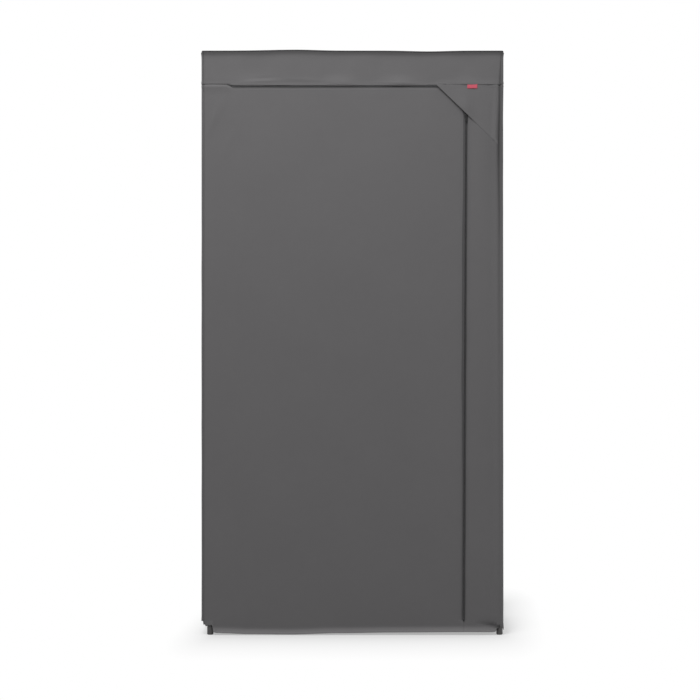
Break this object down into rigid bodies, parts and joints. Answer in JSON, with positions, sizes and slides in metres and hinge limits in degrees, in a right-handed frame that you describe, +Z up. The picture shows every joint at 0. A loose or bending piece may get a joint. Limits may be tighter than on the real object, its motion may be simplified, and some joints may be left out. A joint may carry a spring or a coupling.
{
  "type": "portable fabric wardrobe",
  "caption": "Tall push-together tube frame under a plain sewn cloth cover, with a header band and a front that opens by an L-shaped zip whose sliders park under a corner gusset.",
  "frame": {"origin": "on the floor, in the middle of the width and of the depth", "axes": "+Z up, +X to the right seen from the front, -Y out of the zipped front"},
  "size_m": [0.88, 0.4498, 1.704],
  "materials": {
    "cover_cloth": "matt non-woven cloth",
    "piping_cloth": "matt folded cloth",
    "tab_cloth": "matt woven tape",
    "zip_tape": "black woven tape",
    "zip_coil": "black nylon coil",
    "zip_metal": "black enamel",
    "tube_paint": "grey powder coat",
    "joiner_plastic": "moulded, fine texture",
    "foot_plastic": "moulded, fine texture"
  },
  "bodies": {
    "root": {"foot_cap_front_left": "foot_plastic", "base_corner_front_left": "joiner_plastic", "top_corner_front_left": "joiner_plastic", "post_lower_front_left": "tube_paint", "post_upper_front_left": "tube_paint", "top_side_front_left": "tube_paint", "foot_cap_front_right": "foot_plastic", "base_corner_front_right": "joiner_plastic", "top_corner_front_right": "joiner_plastic", "post_lower_front_right": "tube_paint", "post_upper_front_right": "tube_paint", "top_side_front_right": "tube_paint", "top_rail_front": "tube_paint", "base_rail_front": "tube_paint", "header_front": "cover_cloth", "foot_cap_back_left": "foot_plastic", "base_corner_back_left": "joiner_plastic", "top_corner_back_left": "joiner_plastic", "post_lower_back_left": "tube_paint", "post_upper_back_left": "tube_paint", "top_side_back_left": "tube_paint", "foot_cap_back_right": "foot_plastic", "base_corner_back_right": "joiner_plastic", "top_corner_back_right": "joiner_plastic", "post_lower_back_right": "tube_paint", "post_upper_back_right": "tube_paint", "top_side_back_right": "tube_paint", "top_rail_back": "tube_paint", "base_rail_back": "tube_paint", "header_back": "cover_cloth", "base_side_left": "tube_paint", "drop_bracket_left": "joiner_plastic", "header_left": "cover_cloth", "cover_left": "cover_cloth", "base_side_right": "tube_paint", "drop_bracket_right": "joiner_plastic", "header_right": "cover_cloth", "cover_right": "cover_cloth", "hanging_rail": "tube_paint", "cover_back": "cover_cloth", "cover_roof": "cover_cloth", "front_panel_fixed": "cover_cloth", "front_column": "cover_cloth", "corner_gusset": "cover_cloth", "roof_piping": "piping_cloth", "zip_tape_surround": "zip_tape", "zip_coil_surround": "zip_coil", "zip_stop_low": "zip_metal", "zip_stop_left": "zip_metal", "seam_tab": "tab_cloth"},
    "door": {"door_flap": "cover_cloth", "zip_tape_door": "zip_tape", "zip_coil_door": "zip_coil"},
    "slider_side": {"zip_slider_side": "zip_metal"},
    "pull_side": {"zip_pull_side": "zip_metal"},
    "slider_top": {"zip_slider_top": "zip_metal"},
    "pull_top": {"zip_pull_top": "zip_metal"}
  },
  "joints": [
    {"name": "door_open", "type": "hinge", "parent": "root", "child": "door", "pos_m": [-0.357, -0.217, 1.6017], "axis": [0.399, 0, -0.9169], "range_deg": [0, 150]},
    {"name": "slider_side_travel", "type": "slide", "parent": "root", "child": "slider_side", "axis": [-0.0051, 0, -1], "range_m": [0, 1.417]},
    {"name": "slider_top_travel", "type": "slide", "parent": "root", "child": "slider_top", "axis": [-1, 0, 0], "range_m": [0, 0.588]},
    {"name": "pull_side_swing", "type": "hinge", "parent": "slider_side", "child": "pull_side", "pos_m": [0.33056, -0.217, 1.51272], "axis": [0, 1, 0], "range_deg": [-40, 40]},
    {"name": "pull_top_swing", "type": "hinge", "parent": "slider_top", "child": "pull_top", "pos_m": [0.26572, -0.217, 1.598], "axis": [0, 1, 0], "range_deg": [0, 100]}
  ],
  "couplings": [
    {"joint": "slider_side_travel", "follows": "door_open", "m_per_rad": 0.541},
    {"joint": "slider_top_travel", "follows": "door_open", "m_per_rad": 0.2244}
  ]
}
